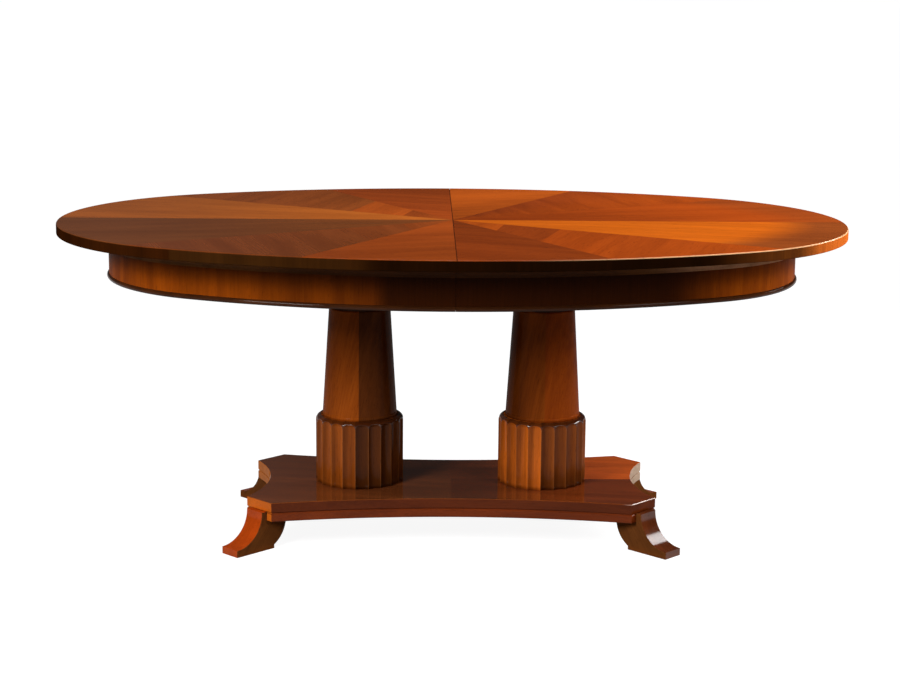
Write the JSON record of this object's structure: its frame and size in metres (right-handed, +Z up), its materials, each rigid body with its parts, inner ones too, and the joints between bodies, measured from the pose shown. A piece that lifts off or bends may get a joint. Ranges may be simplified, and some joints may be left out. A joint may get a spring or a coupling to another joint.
{
  "type": "dining table",
  "caption": "Oval extension dining table with sunburst veneer, on fluted round pedestals that share a shaped platform with bracket feet; its top draws apart on slides.",
  "frame": {"origin": "on the floor, under the middle of the table", "axes": "+X along the table's length to its right end as seen from the front, +Y from the front to the back, +Z up"},
  "size_m": [1.89, 1.22, 0.762],
  "materials": {
    "veneered_top": "glossy lacquered veneer",
    "apron_veneer": "glossy lacquered veneer",
    "dark_bead": "glossy dark lacquer",
    "pedestal_wood": "glossy lacquer",
    "dark_neck": "satin dark stain",
    "slide_wood": "plain waxed hardwood",
    "steel": "zinc plated",
    "brass": "satin"
  },
  "bodies": {
    "base": {"platform_upper": "pedestal_wood", "platform_lower": "pedestal_wood", "foot_front_left": "pedestal_wood", "foot_front_right": "pedestal_wood", "foot_back_left": "pedestal_wood", "foot_back_right": "pedestal_wood", "drum_left": "pedestal_wood", "drum_right": "pedestal_wood", "column_left": "pedestal_wood", "column_right": "pedestal_wood", "neck_left": "dark_neck", "neck_right": "dark_neck", "bearer_left": "slide_wood", "bearer_right": "slide_wood", "tie_rods": "steel", "rod_nuts": "steel", "rail_front": "slide_wood", "rail_back": "slide_wood", "gear_bridge": "slide_wood", "pinion_stud": "steel"},
    "right_half": {"top_right": "veneered_top", "seam_pins_right": "brass", "apron_right": "apron_veneer", "moulding_right": "apron_veneer", "bead_right": "dark_bead", "glue_blocks_right": "slide_wood", "runner_front_right": "slide_wood", "runner_back_right": "slide_wood", "cleat_right": "slide_wood", "rack_right": "steel", "lock_plate_right": "brass", "lock_keeper_right": "brass"},
    "left_half": {"top_left": "veneered_top", "seam_pins_left": "brass", "apron_left": "apron_veneer", "moulding_left": "apron_veneer", "bead_left": "dark_bead", "glue_blocks_left": "slide_wood", "runner_front_left": "slide_wood", "runner_back_left": "slide_wood", "cleat_left": "slide_wood", "rack_left": "steel", "lock_plate_left": "brass", "lock_keeper_left": "brass"},
    "equalizer_pinion": {"equalizer_pinion": "steel"},
    "lock_lever_right": {"lock_lever_right": "brass"},
    "lock_lever_left": {"lock_lever_left": "brass"}
  },
  "joints": [
    {"name": "right_half_slide", "type": "slide", "parent": "base", "child": "right_half", "axis": [1, 0, 0], "range_m": [0, 0.254]},
    {"name": "left_half_slide", "type": "slide", "parent": "base", "child": "left_half", "axis": [-1, 0, 0], "range_m": [0, 0.254]},
    {"name": "pinion_spin", "type": "hinge", "parent": "base", "child": "equalizer_pinion", "pos_m": [0, 0, 0.697], "axis": [0, 0, 1], "range_deg": [0, 347]},
    {"name": "right_lock_swing", "type": "hinge", "parent": "right_half", "child": "lock_lever_right", "pos_m": [0.028, -0.38, 0.7316], "axis": [0, 0, 1], "range_deg": [-70, 0]},
    {"name": "left_lock_swing", "type": "hinge", "parent": "left_half", "child": "lock_lever_left", "pos_m": [-0.028, 0.38, 0.7316], "axis": [0, 0, 1], "range_deg": [-70, 0]}
  ],
  "couplings": [
    {"joint": "left_half_slide", "follows": "right_half_slide", "ratio": 1},
    {"joint": "pinion_spin", "follows": "right_half_slide", "rad_per_m": 23.81}
  ]
}
